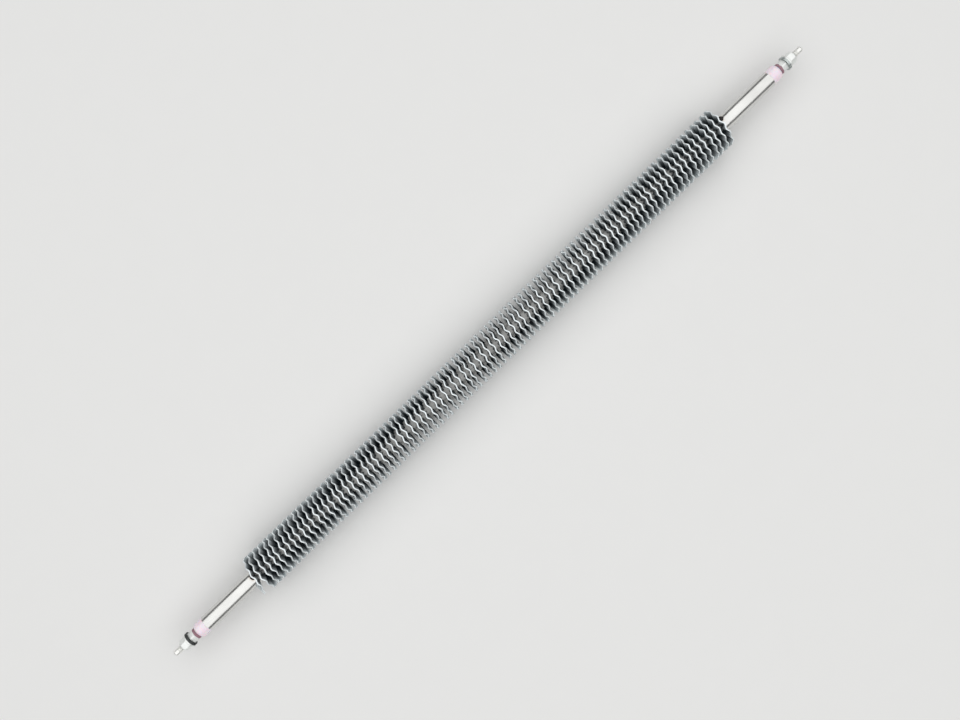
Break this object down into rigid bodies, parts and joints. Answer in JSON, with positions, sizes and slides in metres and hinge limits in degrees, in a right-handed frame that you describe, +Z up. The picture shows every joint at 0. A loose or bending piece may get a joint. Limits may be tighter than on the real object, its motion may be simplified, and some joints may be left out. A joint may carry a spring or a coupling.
{
  "type": "tubular heating element",
  "caption": "Straight steel tubular heater with a steel tape wound on edge round its sheath, pink ceramic end insulators and threaded terminals with nuts and washers.",
  "frame": {"origin": "on the surface that the fins rest on, under the middle of the heater's length", "axes": "+X along the heater towards its right-hand terminal, +Z up"},
  "size_m": [0.6762, 0.034, 0.0331],
  "materials": {
    "sheath_steel": "bright drawn steel",
    "tape_steel": "rolled steel tape",
    "weld": "burnt weld bead",
    "coil_wire": "resistance wire",
    "magnesia": "pressed powder",
    "rod_steel": "bright steel",
    "seal_rubber": "silicone",
    "pink_ceramic": "plain fired ceramic",
    "dark_red_rubber": "matt",
    "nut_steel": "white zinc plate",
    "dark_spring_steel": "dark oxide"
  },
  "bodies": {
    "root": {"contact_rod_left": "rod_steel", "contact_rod_right": "rod_steel", "fin_ribbon": "tape_steel", "flat_washer_left": "nut_steel", "flat_washer_right": "nut_steel", "inner_nut_left": "nut_steel", "inner_nut_right": "nut_steel", "insulator_left": "pink_ceramic", "insulator_right": "pink_ceramic", "lock_washer_left": "dark_spring_steel", "lock_washer_right": "dark_spring_steel", "magnesia_fill": "magnesia", "mouth_seal_left": "seal_rubber", "mouth_seal_right": "seal_rubber", "outer_nut_left": "nut_steel", "outer_nut_right": "nut_steel", "resistance_coil": "coil_wire", "seal_washer_left": "dark_red_rubber", "seal_washer_right": "dark_red_rubber", "sheath": "sheath_steel", "tack_weld_left": "weld", "tack_weld_right": "weld"}
  },
  "joints": []
}
